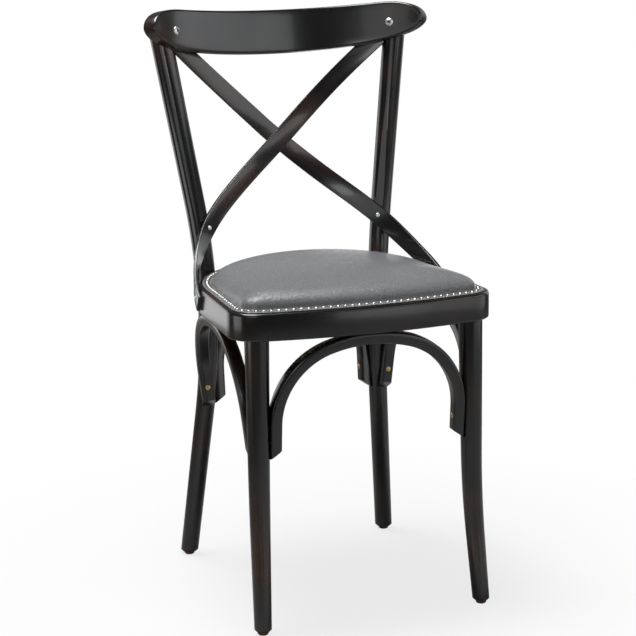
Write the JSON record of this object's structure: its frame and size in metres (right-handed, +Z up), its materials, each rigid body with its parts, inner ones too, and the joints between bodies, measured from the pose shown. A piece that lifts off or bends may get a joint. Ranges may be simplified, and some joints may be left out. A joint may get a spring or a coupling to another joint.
{
  "type": "bentwood dining chair",
  "caption": "Bentwood dining chair with a crossed-slat back, bowed crest rail, arched braces and a crowned leather seat with nailhead trim.",
  "frame": {"origin": "on the floor, under the middle of the chair's overall length and width", "axes": "+Z up, +Y to the back, +X to the right as seen from the front"},
  "size_m": [0.4648, 0.4532, 0.8778],
  "materials": {
    "lacquered_wood": "black lacquer, semi-gloss",
    "plywood": "raw",
    "foam": "open-cell foam",
    "leather": "fine-grained, satin",
    "nail_metal": "polished",
    "chrome": "polished",
    "steel": "zinc plated",
    "brass": "plain",
    "glide": "moulded"
  },
  "bodies": {
    "root": {"seat_ring": "lacquered_wood", "front_leg_left": "lacquered_wood", "front_leg_right": "lacquered_wood", "back_post_left": "lacquered_wood", "back_post_right": "lacquered_wood", "crest_rail": "lacquered_wood", "cross_slat_front": "lacquered_wood", "cross_slat_rear": "lacquered_wood", "front_arch": "lacquered_wood", "rear_arch": "lacquered_wood", "left_arch": "lacquered_wood", "right_arch": "lacquered_wood", "seat_board": "plywood", "seat_foam": "foam", "seat_cover": "leather", "nailhead_trim": "nail_metal", "crest_screws": "chrome", "slat_post_screws": "chrome", "slat_ring_screws": "chrome", "slat_crest_screws": "steel", "board_screws": "steel", "post_bolts": "steel", "post_washers": "steel", "post_nuts": "steel", "arch_leg_screws": "brass", "arch_ring_screws": "brass", "floor_glides": "glide"}
  },
  "joints": []
}
